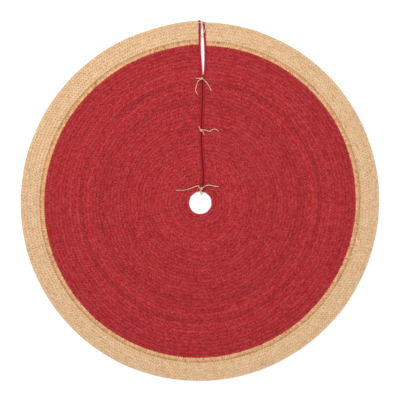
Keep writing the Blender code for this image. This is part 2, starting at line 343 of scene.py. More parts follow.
def sweep(paths, half_width, half_height, sides, seed, travelled=None, upright=True, tone=1.0):
    """A batch of tubes of elliptic section for rings_to_mesh, one along each path."""
    if paths.ndim == 2:
        paths = paths[None]
    number, count, _ = paths.shape
    tangent = np.gradient(paths, axis=1)
    tangent /= np.linalg.norm(tangent, axis=2)[..., None] + 1e-12
    if upright:
        across = np.stack([-tangent[..., 1], tangent[..., 0], np.zeros((number, count))], axis=2)
    else:
        across = np.cross(tangent, [0.31, 0.22, 0.92])
    across /= np.linalg.norm(across, axis=2)[..., None] + 1e-12
    up = np.cross(tangent, across)
    turn = np.arange(sides) / sides * 2 * math.pi + math.pi / sides
    wide = (np.broadcast_to(half_width, (number, count))[..., None] * np.cos(turn))[..., None]
    high = (np.broadcast_to(half_height, (number, count))[..., None] * np.sin(turn))[..., None]
    rings = paths[:, :, None] + across[:, :, None] * wide + up[:, :, None] * high
    if travelled is None:
        step = np.linalg.norm(np.diff(paths, axis=1), axis=2)
        travelled = np.pad(np.cumsum(step, axis=1), ((0, 0), (1, 0)))
    fibre = np.empty(rings.shape)
    fibre[..., 0] = np.broadcast_to(travelled, (number, count))[..., None] * 100
    fibre[..., 1] = np.abs(2 * np.arange(sides) / sides - 1)
    fibre[..., 2] = np.reshape(seed, (-1, 1, 1))
    return rings, fibre, np.broadcast_to(tone, (number, count))


def smooth_route(places, step):
    """Evenly spread points on a Catmull-Rom curve through the given places."""
    places = np.array(places, float)
    places = np.vstack([2 * places[0] - places[1], places, 2 * places[-1] - places[-2]])
    t = (np.arange(1, 41) / 40)[:, None]
    fine = [places[1:2]]
    for a, b, c, d in zip(places, places[1:], places[2:], places[3:]):
        cubic = (3 * (b - c) + d - a) * t**3 + (2 * a - 5 * b + 4 * c - d) * t**2 + (c - a) * t
        fine.append(b + cubic / 2)
    fine = np.concatenate(fine)
    travelled = np.concatenate([[0], np.cumsum(np.linalg.norm(np.diff(fine, axis=0), axis=1))])
    count = max(4, round(travelled[-1] / step) + 1)
    wanted = np.linspace(0, travelled[-1], count)
    return np.stack([np.interp(wanted, travelled, fine[:, k]) for k in range(3)], axis=1)


# ---- materials


def add_node(tree, kind, place, settings=(), **inputs):
    """A node whose inputs are given as values or as sockets to link."""
    node = tree.nodes.new(kind)
    node.location = place
    for name, value in dict(settings).items():
        setattr(node, name, value)
    for name, value in inputs.items():
        socket = node.inputs[name.replace("_", " ")]
        if isinstance(value, bpy.types.NodeSocket):
            tree.links.new(value, socket)
        else:
            socket.default_value = value
    return node


def shade_ramp(tree, place, factor, stops):
    """A colour ramp of (position, brightness) stops, read as a grey."""
    ramp = add_node(tree, "ShaderNodeValToRGB", place, Fac=factor)
    elements = ramp.color_ramp.elements
    while len(elements) < len(stops):
        elements.new(0.5)
    for element, (position, grey) in zip(elements, stops):
        element.position = position
        element.color = (grey, grey, grey, 1)
    return ramp.outputs["Color"]


def mixed(tree, place, kind, factor, first, second):
    """A colour mix, whose inputs are colours or sockets."""
    node = tree.nodes.new("ShaderNodeMix")
    node.data_type = "RGBA"
    node.blend_type = kind
    node.location = place
    for index, value in ((0, factor), (6, first), (7, second)):
        if isinstance(value, bpy.types.NodeSocket):
            tree.links.new(value, node.inputs[index])
        elif index == 0:
            node.inputs[index].default_value = value
        else:
            node.inputs[index].default_value = (*value, 1.0) if len(value) == 3 else value
    return node.outputs[2]


def new_material(name, **inputs):
    """A material with its node tree and its shader, whose inputs are given as values."""
    material = bpy.data.materials.new(name)
    material.use_nodes = True
    shader = material.node_tree.nodes["Principled BSDF"]
    for label, value in inputs.items():
        shader.inputs[label.replace("_", " ")].default_value = value
    return material, material.node_tree, shader


def fibre_material(name, colour, pale, speck_and_shade, speck_share, streak_size=5.0):
    """Spun plant fibre: pale streaks along each strand, uneven runs, stray specks, and a darker tone from
    dye, dark dashes and painted groove shade.
    """
    material, tree, shader = new_material(
        name, Roughness=0.85, Sheen_Weight=0.08, Sheen_Roughness=0.6, Specular_IOR_Level=0.15
    )
    where = add_node(tree, "ShaderNodeAttribute", (-1700, 0), {"attribute_name": "fibre"})

    def strand_noise(place, scale, detail, low, high):
        """Noise along, across and from strand to strand, its range stretched out to 0 to 1."""
        x, y = place
        spread = add_node(
            tree, "ShaderNodeMapping", (x - 400, y), Vector=where.outputs["Vector"], Scale=scale
        )
        noise = add_node(
            tree, "ShaderNodeTexNoise", (x - 200, y), Vector=spread.outputs[0], Scale=1.0, Detail=detail
        )
        return noise.outputs["Fac"], shade_ramp(tree, place, noise.outputs["Fac"], [(low, 0.0), (high, 1.0)])

    grain, streaks = strand_noise((-1000, 300), (1.1, streak_size, 7.3), 3.0, 0.36, 0.66)
    _, runs = strand_noise((-1000, 0), (0.7, 0.3, 3.1), 2.0, 0.38, 0.62)
    _, specks = strand_noise((-1000, -300), (0.5, 2.6, 5.7), 1.0, 1 - speck_share, 1.05 - speck_share)
    shade = mixed(tree, (-700, 200), "MIX", 0.6, streaks, runs)
    body = mixed(tree, (-500, 200), "MIX", shade, colour, pale)
    body = mixed(tree, (-300, 100), "MIX", specks, body, speck_and_shade)
    # The tone attribute holds the dye, the dark dashes and the painted shade in the grooves between turns
    dye_and_shade = add_node(tree, "ShaderNodeAttribute", (-500, 500), {"attribute_name": "tone"})
    body = mixed(tree, (-100, 200), "MIX", dye_and_shade.outputs["Fac"], speck_and_shade, body)
    tree.links.new(body, shader.inputs["Base Color"])
    bump = add_node(tree, "ShaderNodeBump", (-300, -300), Strength=0.6, Distance=0.0006, Height=grain)
    tree.links.new(bump.outputs[0], shader.inputs["Normal"])
    return material


def woven_material(name, colour, shade_and_dirt):
    """Twill tape: fine diagonal ribs, fibres of uneven shade, and painted shade with some dirt where the tone
    attribute is low, along the shut slit's edges.
    """
    material, tree, shader = new_material(
        name, Roughness=0.8, Sheen_Weight=0.08, Specular_IOR_Level=0.15
    )
    where = add_node(tree, "ShaderNodeTexCoord", (-1300, 0))
    twill = (0.0, 0.0, math.radians(38))
    turned = add_node(
        tree, "ShaderNodeMapping", (-1100, 100), Vector=where.outputs["Object"], Rotation=twill
    )
    ribs = add_node(
        tree, "ShaderNodeTexWave", (-900, 100), Vector=turned.outputs[0],
        Scale=210.0, Distortion=1.2, Detail=2.0, Detail_Scale=3.0,
    )
    wear = add_node(
        tree, "ShaderNodeTexNoise", (-900, -200), Vector=where.outputs["Object"], Scale=130.0, Detail=4.0
    )
    rib_grey = shade_ramp(tree, (-650, 100), ribs.outputs["Fac"], [(0.1, 0.72), (0.8, 1.0)])
    wear_grey = shade_ramp(tree, (-650, -200), wear.outputs["Fac"], [(0.35, 0.75), (0.65, 1.0)])
    body = mixed(tree, (-400, 100), "MULTIPLY", 1.0, colour, rib_grey)
    body = mixed(tree, (-200, 100), "MULTIPLY", 1.0, body, wear_grey)
    shadowed = add_node(tree, "ShaderNodeAttribute", (-400, 400), {"attribute_name": "tone"})
    # Painted shade with some dirt, where the tone attribute is low along the shut slit's edges
    dark = mixed(tree, (-200, 400), "MIX", shadowed.outputs["Fac"], shade_and_dirt, (1.0, 1.0, 1.0))
    body = mixed(tree, (0, 200), "MULTIPLY", 1.0, body, dark)
    tree.links.new(body, shader.inputs["Base Color"])
    bump = add_node(
        tree, "ShaderNodeBump", (-300, -300), Strength=0.5, Distance=0.0004, Height=ribs.outputs["Fac"]
    )
    tree.links.new(bump.outputs[0], shader.inputs["Normal"])
    return material


def plain_material(name, colour, roughness):
    """A matt surface with faint mottling."""
    material, tree, shader = new_material(name, Roughness=roughness)
    where = add_node(tree, "ShaderNodeTexCoord", (-900, 0))
    mottle = add_node(
        tree, "ShaderNodeTexNoise", (-700, 0), Vector=where.outputs["Object"], Scale=3.0, Detail=3.0
    )
    grey = shade_ramp(tree, (-500, 0), mottle.outputs["Fac"], [(0.3, 0.985), (0.7, 1.0)])
    tree.links.new(mixed(tree, (-200, 0), "MULTIPLY", 1.0, colour, grey), shader.inputs["Base Color"])
    return material


# ---- braid


QUARTER_SEAM = math.radians(16)  # below the cross fold, where two braid pieces of a turn meet
STRAND_SIDES = 6
END_INSET = 0.0028  # from the slit's edge to the ends of the strands, inside the tape
PRESSED = 0.66  # share of their height that the tape leaves the strands
PRESS_EASE = 0.004  # beyond the tape, where they rise again
OVERLAP = 0.0012  # how far a turn's strands reach past its own width
FACE_CLEARANCE = 0.00005  # between the strands and the mat's faces
GOLDEN_FINENESS = 0.8  # its plait's repeat over the others'
# How dark the painted shade is in the groove outside the golden turn
GOLDEN_GROOVE_SHADE = 0.45
SEWING_INSET = 0.0062  # from the slit's edge to the ends of the sewing thread
SEWING_SWING = 0.15  # share of a turn's width
SEWING_DEPTH = 0.00165  # from either face of the mat to the zigzag
DASHES_PER_METRE = 3.4
# Turns plaited from more weathered jute, and how many times as many dark dashes they have
DARK_TURNS = {17: 1.8, 24: 2.8, 28: 3.4, 30: 2.8, 31: 3.6, 36: 1.8}
PARTS = {
    "right": ("right_front", "right_back"),
    "back": ("right_back", "left_back"),
    "left": ("left_back", "left_front"),
}


def part_angles(part, radius, inset):
    """Where a part of a turn begins and ends, going clockwise from the slit's right edge."""
    if part == "right":
        return angle_at_slit(radius, RIGHT, inset), -QUARTER_SEAM
    if part == "back":
        return -QUARTER_SEAM, QUARTER_SEAM - math.pi
    return QUARTER_SEAM - math.pi, angle_at_slit(radius, LEFT, inset) - 2 * math.pi


def on_ring(reach, angles, radius, height):
    """Points at some reach, angles and heights about the centre of the turn of this radius."""
    x, y = reach * np.cos(angles), ring_centre_y(radius) + reach * np.sin(angles)
    return np.stack(np.broadcast_arrays(x, y, height), axis=-1)


def turn_centre(radius, angles, turn):
    """How far a turn's middle lies from its own centre, at each angle."""
    phases = np.random.default_rng(300 + turn).uniform(0, 2 * math.pi, 2)
    centre = radius + rim_wander(radius, angles)
    return centre + 0.00025 * np.sin(9 * angles + phases[0]) + 0.00018 * np.sin(23 * angles + phases[1])


def strand_tone(travelled, around, turn, strand):
    """How brightly a strand took the dye, from 0 to 1, with dark dashes here and there."""
    chance = np.random.default_rng(9000 + turn * 3 + strand)
    dye = np.random.default_rng(500 + turn).normal(0, 0.07)
    tone = np.full(len(travelled), 0.85 + dye + chance.uniform(-0.03, 0.03))
    for wavelength, swing in ((0.23, 0.04), (0.061, 0.04), (0.021, 0.035), (0.0113, 0.03)):
        wavelength *= chance.uniform(0.8, 1.25)
        tone += swing * np.sin(travelled / wavelength * 2 * math.pi + chance.uniform(0, 2 * math.pi))
    density = DARK_TURNS.get(turn, 1.0)
    count = chance.poisson(around * DASHES_PER_METRE * density)
    for middle, half, depth in zip(
        chance.uniform(0, around, count),
        chance.uniform(0.003, 0.011, count) * density**0.6,
        chance.uniform(0.1, 0.48, count),
    ):
        near = np.clip(1.6 - np.abs(travelled % around - middle) / half, 0, 1)
        tone *= 1 - depth * near
    return np.clip(tone, 0, 1)


def plaited_turn(radius, part, turn):
    """The three strands of one part of one turn, as tubes."""
    look = bpy.context.scene.skirt_braid
    trim = bpy.context.scene.skirt_trim
    mat = sizes()
    chance = np.random.default_rng(700 + turn)
    phase, jitter = chance.uniform(0, 2 * math.pi, 2)
    repeat = look.repeat * chance.uniform(0.95, 1.06)
    # How dark this turn's painted shade towards its grooves is
    groove_shade_depth = chance.uniform(0.08, 0.34)
    field_turns = mat.field_bands * mat.turns_per_band
    if turn == field_turns:
        repeat *= GOLDEN_FINENESS
        groove_shade_depth = GOLDEN_GROOVE_SHADE
    start, stop = part_angles(part, radius, END_INSET)
    steps = max(6, round(abs(stop - start) * radius / (look.repeat / 9)))
    angles = np.linspace(start, stop, steps + 1)
    travelled = (math.pi / 2 - angles) * radius
    around = 2 * math.pi * radius
    centre = turn_centre(radius, angles, turn)

    # The tape presses the braid's ends flat
    from_cut = np.full(len(angles), 1.0)
    if part != "back":
        cut = start if part == "right" else stop
        from_cut = np.abs(angles - cut) * radius + END_INSET
    ease = np.clip((from_cut - trim.tape_width) / PRESS_EASE, 0, 1)
    press = PRESSED + (1 - PRESSED) * ease * ease * (3 - 2 * ease)

    fullness = turn_width(turn) / mat.braid_width
    half_height = look.strand_height / 2
    half_width = look.strand_width / 2 * fullness
    middle = FACE_Z / 2
    side_swing = turn_width(turn) / 2 - half_width + OVERLAP * fullness
    lift = middle - half_height - FACE_CLEARANCE
    tubes = []
    for strand in range(3):
        turned = travelled / repeat * 2 * math.pi + phase + strand * 2 * math.pi / 3
        turned += 0.10 * np.sin(travelled * 71 + jitter)
        across = side_swing * (np.sin(turned) + 0.15 * np.sin(3 * turned)) / 0.85
        height = middle + lift * np.sin(2 * turned) * press
        reach = centre + across
        path = on_ring(reach, angles, radius, height)
        swell = 1 + 0.06 * np.sin(travelled * 163 + jitter + strand) + 0.04 * np.sin(travelled * 389 + strand)
        tone = strand_tone(travelled, around, turn, strand)
        # Painted shade: the strands darken towards the grooves between turns, but not at the one where the
        # red meets the gold
        groove_shade = np.clip(2 * np.abs(across) / side_swing - 1, 0, 1)
        if turn == field_turns - 1:
            groove_shade *= across < 0
        if turn == field_turns:
            groove_shade *= across > 0
        tone *= 1 - groove_shade_depth * groove_shade
        number = turn * 3 + strand
        tubes.append(
            sweep(path, half_width * swell, half_height * press, STRAND_SIDES, number, travelled, tone=tone)
        )
    return tubes


def sewn_joint(radius, part, turn):
    """The zigzag of thread that sews a turn to the next one out, on both faces."""
    look = bpy.context.scene.skirt_braid
    mat = sizes()
    edge = radius + mat.braid_width / 2
    start, stop = part_angles(part, edge, SEWING_INSET)
    steps = max(6, round(abs(stop - start) * edge / look.sewing_step))
    angles = np.linspace(start, stop, steps + 1)
    next_radius = radius + mat.braid_width
    centre = (turn_centre(radius, angles, turn) + turn_centre(next_radius, angles, turn + 1)) / 2
    side = np.where(np.arange(len(angles)) % 2, 1.0, -1.0)
    # The thread between the golden turn and the border is dark
    tone = 0.1 if turn == mat.field_bands * mat.turns_per_band + mat.accent_turns - 1 else 0.75
    reach = centre + side * mat.braid_width * SEWING_SWING
    tubes = []
    for height in (FACE_Z - SEWING_DEPTH, SEWING_DEPTH):
        path = on_ring(reach, angles, edge, height)
        thin = np.full(len(angles), look.sewing_thread / 2)
        tubes.append(sweep(path, thin, thin, 3, 400 + turn, (math.pi / 2 - angles) * edge, tone=tone))
    return tubes


def loose_fibres(radius, part, turn):
    """Short hairs that stand off one part of a turn."""
    look = bpy.context.scene.skirt_braid
    mat = sizes()
    start, stop = part_angles(part, radius, 0.012)
    chance = np.random.default_rng([turn, list(PARTS).index(part)])
    count = int(abs(stop - start) * radius * look.hairs_per_metre)
    t = np.linspace(0, 1, 5)
    angle = chance.uniform(min(start, stop) + 0.02, max(start, stop) - 0.02, (count, 1))
    lean = chance.normal(0, 0.7, (count, 1))
    length = chance.uniform(0.005, 0.015, (count, 1))
    rise = chance.uniform(0.0006, 0.0022, (count, 1))
    bow = chance.normal(0, 0.0012, (count, 1))
    across = chance.uniform(-0.4, 0.4, (count, 1)) * mat.braid_width
    reach = radius + rim_wander(radius, angle) + across + t * length * np.sin(lean) + bow * t * (1 - t) * 4
    angles = angle + t * length * np.cos(lean) / radius
    height = FACE_Z - 0.0009 + rise * np.sin(t * math.pi * 0.8)
    paths = on_ring(reach, angles, radius, height)
    thin = np.linspace(0.00011, 0.00005, 5)
    tone = chance.uniform(0.5, 1.0, (count, 1))
    return [sweep(paths, thin, thin, 3, chance.uniform(0, 900, count), tone=tone)]


def add_band(label, turns, first_turn, material):
    """One band of turns, in three pieces."""
    mat = sizes()
    inner = mat.hole_radius + first_turn * mat.braid_width
    stands_for = {
        "right": [f"right_front_{label}"],
        "back": [f"right_back_{label}", f"left_back_{label}"],
        "left": [f"left_front_{label}"],
    }
    for part, (first_body, second_body) in PARTS.items():
        tubes = []
        for i in range(turns):
            radius = inner + (i + 0.5) * mat.braid_width
            tubes += plaited_turn(radius, part, first_turn + i)
            tubes += loose_fibres(radius, part, first_turn + i)
            if radius + mat.braid_width < rim_radius():
                tubes += sewn_joint(radius, part, first_turn + i)
        piece = rings_to_mesh(f"{label}_{part}_braid", tubes, material)
        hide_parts(*stands_for[part])
        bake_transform(piece)


class SKIRT_OT_field(bpy.types.Operator):
    """Plait the red field, band by band from the hole"""

    bl_idname = "skirt.field"
    bl_label = "Red Field"

    def execute(self, context):
        mat, look = context.scene.skirt_mat, context.scene.skirt_braid
        material = fibre_material("red_jute_fibre", look.red, look.pale_red, look.red_speck_and_shade, 0.36)
        for band in range(mat.field_bands):
            first = band * mat.turns_per_band
            add_band(f"field_band_{band + 1}", mat.turns_per_band, first, material)
        return {"FINISHED"}


class SKIRT_OT_accent(bpy.types.Operator):
    """Plait the golden turn between the field and the border"""

    bl_idname = "skirt.accent"
    bl_label = "Golden Turn"

    def execute(self, context):
        mat, look = context.scene.skirt_mat, context.scene.skirt_braid
        material = fibre_material("golden_jute_fibre", look.golden, look.pale_golden, look.golden_speck_and_shade, 0.36)
        first = mat.field_bands * mat.turns_per_band
        add_band("accent_turn", mat.accent_turns, first, material)
        return {"FINISHED"}


class SKIRT_OT_border(bpy.types.Operator):
    """Plait the pale border round the rim"""

    bl_idname = "skirt.border"
    bl_label = "Natural Border"

    def execute(self, context):
        mat, look = context.scene.skirt_mat, context.scene.skirt_braid
        material = fibre_material(
            "natural_jute_fibre", look.natural, look.pale_natural, look.natural_speck_and_shade, 0.34
        )
        first = mat.field_bands * mat.turns_per_band + mat.accent_turns
        add_band("border", mat.border_turns, first, material)
        return {"FINISHED"}


# ---- slit binding


TAPE_PAST_HOLE = 0.0004  # how far the tape's ends stand past the hole's edge
TAPE_PAST_RIM = 0.0012  # and past the rim
EDGE_SHADE = 0.93  # how dark the painted shade and dirt along the shut slit's edges get, from 0 to 1
STITCH_INSET = 0.0050  # from the tape's outer edge to its seam
FIRST_STITCH = 0.004  # from the tape's end to the first one's middle
UNSEWN = 0.006  # length of tape left out when the stitches are counted


def slit_run(side, inset):
    """The least and greatest y of the tape, at the hole and at the rim."""
    mat = sizes()
    ends = []
    for radius in (mat.hole_radius - TAPE_PAST_HOLE, rim_radius() + TAPE_PAST_RIM):
        angle = angle_at_slit(radius, side, inset)
        wander = float(rim_wander(radius, np.array([angle]))[0])
        ends.append(ring_centre_y(radius) + (radius + wander) * math.sin(angle))
    return ends


def tape_sections(side):
    """Rings of the folded tape's section, outer points then inner ones, and each point's tone."""
    trim = bpy.context.scene.skirt_trim
    wall, width, middle = trim.tape_thickness, trim.tape_width, FACE_Z / 2
    fold = trim.tape_fold
    start, stop = slit_run(side, width / 2)
    along = np.linspace(start, stop, round((stop - start) / 0.0023))
    chance = np.random.default_rng(31 + side)
    lips = [
        0.00035 * np.sin(along * rate + 1) + chance.normal(0, 0.00012, len(along)) for rate in (190, 150)
    ]
    pucker = 0.00018 * np.cos(along / trim.stitch_pitch * 2 * math.pi)
    edge = slit_edge_x(side, along) + 0.00015 * np.sin(along * 410) - side * sizes().seam_gap * 0.45
    turns = np.linspace(0, math.pi, 15)
    # Where the slit is shut, painted shade for its groove, with some dirt, darkens the tape's edges, most of
    # all near the hole
    shut = 1 - np.clip((along - sizes().lens_start + 0.004) / 0.02, 0, 1)
    shade_reach = np.interp(along, (0.04, 0.12, 0.30, 0.43), (0.0046, 0.0042, 0.0036, 0.0034))
    # The tape's face from its lip to its fold: share of its width, and how far it gives to the stitches
    face = [(1.0, 0.0), (0.8, 0.7), (0.67, 1.0), (0.5, 0.3)]
    shrink = (fold - wall) / fold
    sections = []
    for y, x, top_lip, low_lip, dip in zip(along, edge, *lips, pucker):
        outer = [
            (width * share + top_lip * (share == 1), middle + dip * (give - 0.5)) for share, give in face
        ]
        outer += [(fold * (1 - math.sin(turn)), middle * math.cos(turn)) for turn in turns]
        outer += [(width * share + low_lip * (share == 1), -middle) for share, _ in reversed(face)]
        inner = []
        for inset, height in outer:
            if inset < fold:
                inner.append((fold + (inset - fold) * shrink, height * (middle - wall) / middle))
            else:
                inner.append((inset, height - math.copysign(wall, height)))
        sections.append([(x + side * inset, y, middle + z) for inset, z in outer + inner[::-1]])
    sections = np.array(sections)
    inset = np.abs(sections[..., 0] - edge[:, None])
    # The painted shade fades inwards from the tape's edge
    unshaded = np.clip((inset - 0.25 * shade_reach[:, None]) / shade_reach[:, None], 0, 1)
    return sections, (1 - shut[:, None] * EDGE_SHADE * (1 - unshaded) ** 1.6).ravel()


def add_tape(side, material):
    """The tape on one side of the slit, closed at its ends."""
    sections, tone = tape_sections(side)
    count, ring, _ = sections.shape
    here = np.arange(count * ring).reshape(count, ring)
    turned = np.roll(here, -1, axis=1)
    faces = np.stack([here[:-1], turned[:-1], turned[1:], here[1:]], axis=-1).reshape(-1, 4)
    caps = []
    for row, flip in ((here[0], True), (here[-1], False)):
        for i in range(ring // 2 - 1):
            cap = [row[i], row[i + 1], row[ring - 2 - i], row[ring - 1 - i]]
            caps.append(cap[::-1] if flip else cap)
    faces = np.concatenate([faces, np.array(caps)])
    if side == LEFT:
        faces = faces[:, ::-1]
    name = f"{SIDE_NAME[side]}_slit_tape"
    points = sections.reshape(-1, 3)
    tape = grid_to_object(name, points, faces, material, SIDE_BODY[side], tone=tone)
    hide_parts(f"{SIDE_NAME[side]}_slit_binding")
    return tape


class SKIRT_OT_binding(bpy.types.Operator):
    """Fold the tape over both edges of the slit"""

    bl_idname = "skirt.binding"
    bl_label = "Slit Binding"

    def execute(self, context):
        trim = context.scene.skirt_trim
        material = woven_material("twill_tape", trim.tape, trim.tape_shade_and_dirt)
        for side in (LEFT, RIGHT):
            tape = add_tape(side, material)
            start, stop = slit_run(side, trim.tape_width / 2)
        return {"FINISHED"}


class SKIRT_OT_stitches(bpy.types.Operator):
    """Sew the tape along its upper face"""

    bl_idname = "skirt.stitches"
    bl_label = "Binding Stitches"

    def execute(self, context):
        trim = context.scene.skirt_trim
        material = fibre_material("red_thread_fibre", trim.thread, trim.tape, trim.thread_speck, 0.30)
        for side in (LEFT, RIGHT):
            start, stop = slit_run(side, trim.tape_width / 2)
            count = int((stop - start - UNSEWN) / trim.stitch_pitch)
            tubes = []
            for i in range(count):
                middle = start + FIRST_STITCH + i * trim.stitch_pitch
                ys = middle + np.array([-1.0, -0.8, 0.0, 0.8, 1.0]) * trim.stitch_pitch * 0.38
                xs = slit_edge_x(side, ys) + side * STITCH_INSET
                bow = np.array([-0.00035, 0.0, 0.00016, 0.0, -0.00035])
                waist = np.array([0.0001, 0.00034, 0.0004, 0.00034, 0.0001])
                path = np.stack([xs, ys, FACE_Z + bow], axis=1)
                tubes.append(sweep(path, waist, waist, 6, i))
            piece = rings_to_mesh(f"{SIDE_NAME[side]}_tape_stitches", tubes, material, SIDE_BODY[side])
            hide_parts(f"{SIDE_NAME[side]}_binding_seam")
        return {"FINISHED"}


# ---- twine


# Each length of twine: its side of the slit, which of its ends are free, and its route as in the
# frame's design, (x, y, height above the mat's face)
TWINES = {
    "hole_tie_loop": (LEFT, "", [
        (0.0028, 0.0387, 0.0038), (0.0028, 0.0345, 0.0031), (0.0022, 0.0295, 0.0002),
        (0.0034, 0.0245, -0.0022), (0.0067, 0.0222, -0.0032), (0.0096, 0.0250, -0.0024),
        (0.0096, 0.0285, -0.0004), (0.0064, 0.0335, 0.0031), (0.0062, 0.0387, 0.0038),
    ]),
    "hole_tie_left_tail": (LEFT, "end", [
        (-0.0006, 0.0455, 0.0042), (-0.0040, 0.0525, 0.0028), (-0.0127, 0.0506, 0.0018),
        (-0.0269, 0.0450, 0.0018), (-0.0375, 0.0414, 0.0025), (-0.0535, 0.0368, 0.0026),
        (-0.0818, 0.0365, 0.0018),
    ]),
    "hole_tie_right_tail": (RIGHT, "end", [
        (0.0091, 0.0450, 0.0042), (0.0114, 0.0451, 0.0040), (0.0142, 0.0476, 0.0035),
        (0.0191, 0.0520, 0.0029), (0.0297, 0.0549, 0.0020), (0.0439, 0.0535, 0.0018),
        (0.0581, 0.0506, 0.0020), (0.0680, 0.0499, 0.0018),
    ]),
    "middle_tie_upper_end": (LEFT, "end", [
        (0.0022, 0.2528, 0.0038), (0.0004, 0.2568, 0.0028), (-0.0025, 0.2623, 0.0019),
    ]),
    "middle_tie_lower_end": (RIGHT, "end", [
        (0.0094, 0.2462, 0.0042), (0.0114, 0.2450, 0.0040), (0.0142, 0.2398, 0.0035),
        (0.0166, 0.2329, 0.0029),
    ]),
    "middle_tie_tail": (RIGHT, "end", [
        (0.0089, 0.2498, 0.0042), (0.0140, 0.2502, 0.0036), (0.0212, 0.2489, 0.0026),
        (0.0354, 0.2450, 0.0018), (0.0418, 0.2489, 0.0020), (0.0531, 0.2528, 0.0024),
        (0.0609, 0.2503, 0.0020), (0.0662, 0.2457, 0.0018),
    ]),
    "outer_tie_left_end": (LEFT, "end", [
        (-0.0003, 0.4320, 0.0042), (-0.0050, 0.4322, 0.0030), (-0.0120, 0.4312, 0.0019),
    ]),
    "outer_tie_left_tail": (LEFT, "end", [
        (0.0016, 0.4271, 0.0038), (-0.0042, 0.4225, 0.0026), (-0.0081, 0.4145, 0.0018),
        (-0.0113, 0.4025, 0.0022), (-0.0135, 0.3929, 0.0026), (-0.0113, 0.3827, 0.0022),
        (-0.0060, 0.3749, 0.0018),
    ]),
    "outer_tie_right_tail": (RIGHT, "end", [
        (0.0092, 0.4303, 0.0042), (0.0116, 0.4298, 0.0040), (0.0156, 0.4265, 0.0035),
        (0.0241, 0.4177, 0.0022), (0.0322, 0.4075, 0.0020), (0.0414, 0.3890, 0.0018),
    ]),
    "rim_tie_crossing": (LEFT, "start", [
        (-0.0040, 0.6285, 0.0030), (-0.0010, 0.6282, 0.0035), (0.0030, 0.6278, 0.0035),
        (0.0090, 0.6288, 0.0042),
    ]),
    "rim_tie_hanging_end": (LEFT, "end", [
        (0.0062, 0.6262, 0.0028), (0.0068, 0.6205, 0.0008), (0.0071, 0.6105, -0.0030),
    ]),
    "rim_tie_tail": (RIGHT, "end", [
        (0.0169, 0.6260, 0.0036), (0.0208, 0.6215, 0.0033), (0.0205, 0.6131, 0.0033),
        (0.0210, 0.6085, 0.0033), (0.0182, 0.6007, 0.0033), (0.0132, 0.5905, 0.0026),
        (0.0064, 0.5790, -0.0012),
    ]),
}
# Each knot's side of the slit, and how far it is pulled towards the other side
KNOTS = {
    "hole_tie_knot": (LEFT, 0.0036),
    "middle_tie_knot": (LEFT, 0.0018),
    "outer_tie_knot": (LEFT, 0.0036),
    "rim_tie_knot": (RIGHT, 0.0018),
}
KNOT_TWINE = 0.88  # its thickness over that of a loose length
KNOT_LEAD = 0.55  # how far towards the knot's middle a covered end runs on
KNOT_LOBES = (0.00122, 0.00130, 0.00175)
PLY_ORBIT = 0.245  # shares of the twine's diameter
PLY_RADIUS = 0.255
TWINE_HAIRS = 260  # for each metre


def directions(path):
    """Which way the path runs at each of its points."""
    tangent = np.gradient(path, axis=0)
    return tangent / (np.linalg.norm(tangent, axis=1)[:, None] + 1e-12)


def twine_plies(path, diameter, pitch, free, seed, closed=False):
    """Three plies twisted round a path, splayed and thinned where an end is free."""
    step = np.linalg.norm(np.diff(path, axis=0), axis=1)
    travelled = np.concatenate([[0.0], np.cumsum(step)])
    total = travelled[-1]
    tangent = directions(path)
    across = np.cross(tangent, [0.05, 0.02, 1.0])
    across /= np.linalg.norm(across, axis=1)[:, None] + 1e-12
    up = np.cross(across, tangent)
    fray = np.zeros(len(path))
    if "end" in free:
        fray = np.maximum(fray, np.clip(1 - (total - travelled) / 0.007, 0, 1))
    if "start" in free:
        fray = np.maximum(fray, np.clip(1 - travelled / 0.004, 0, 1) * 0.5)
    turns = max(1, round(total / pitch)) if closed else total / pitch
    tubes = []
    for ply in range(3):
        turn = travelled / total * turns * 2 * math.pi + ply * 2 * math.pi / 3 + seed
        orbit = diameter * (PLY_ORBIT + 0.20 * fray**1.5)
        centre = path + across * (orbit * np.cos(turn))[:, None] + up * (orbit * np.sin(turn))[:, None]
        thick = diameter * PLY_RADIUS * (1 - 0.55 * fray)
        tubes.append(sweep(centre, thick, thick, 6, seed * 3 + ply, upright=False))
    return tubes


def stray_fibres(path, diameter, count, seed, ends):
    """Short hairs that stand off the twine, with a tuft of them at its far end when that end is free."""
    chance = np.random.default_rng(seed)
    tangent = directions(path)
    tuft = 14 if "end" in ends else 0
    roots = np.concatenate([chance.integers(1, len(path) - 1, count), np.full(tuft, len(path) - 3)])
    total = len(roots)
    out = chance.normal(0, 1, (total, 3))
    out[:, 2] = np.abs(out[:, 2]) * 0.5
    out -= tangent[roots] * (out * tangent[roots]).sum(axis=1)[:, None]
    out /= np.linalg.norm(out, axis=1)[:, None] + 1e-9
    reach = chance.uniform(0.0008, 0.0020, (total, 1, 1))
    along_length, in_tuft = chance.uniform(0.002, 0.005, total), chance.uniform(0.003, 0.006, total)
    length = np.where(np.arange(total) < count, along_length, in_tuft)
    t = np.linspace(0, 1, 5)[:, None]
    along = tangent[roots][:, None] * length[:, None, None]
    hairs = (path[roots] + out * diameter * 0.3)[:, None] + along * t
    hairs += out[:, None] * reach * t**2
    hairs[..., 2] = np.maximum(hairs[..., 2], 0.0004)
    thin = np.linspace(0.00013, 0.00004, 5)
    return [sweep(hairs, thin, thin, 4, chance.uniform(0, 900, total), upright=False)]


def knot_path(centre, spin):
    """A closed three-lobed knot, pulled tight and a little flattened."""
    t = np.linspace(0, 2 * math.pi, 97)
    x = (np.sin(t) + 2 * np.sin(2 * t)) * KNOT_LOBES[0]
    y = (np.cos(t) - 2 * np.cos(2 * t)) * KNOT_LOBES[1]
    z = -np.sin(3 * t) * KNOT_LOBES[2]
    turned_x = x * math.cos(spin) - y * math.sin(spin)
    turned_y = x * math.sin(spin) + y * math.cos(spin)
    return np.stack([turned_x, turned_y, z], axis=1) + np.array(centre)


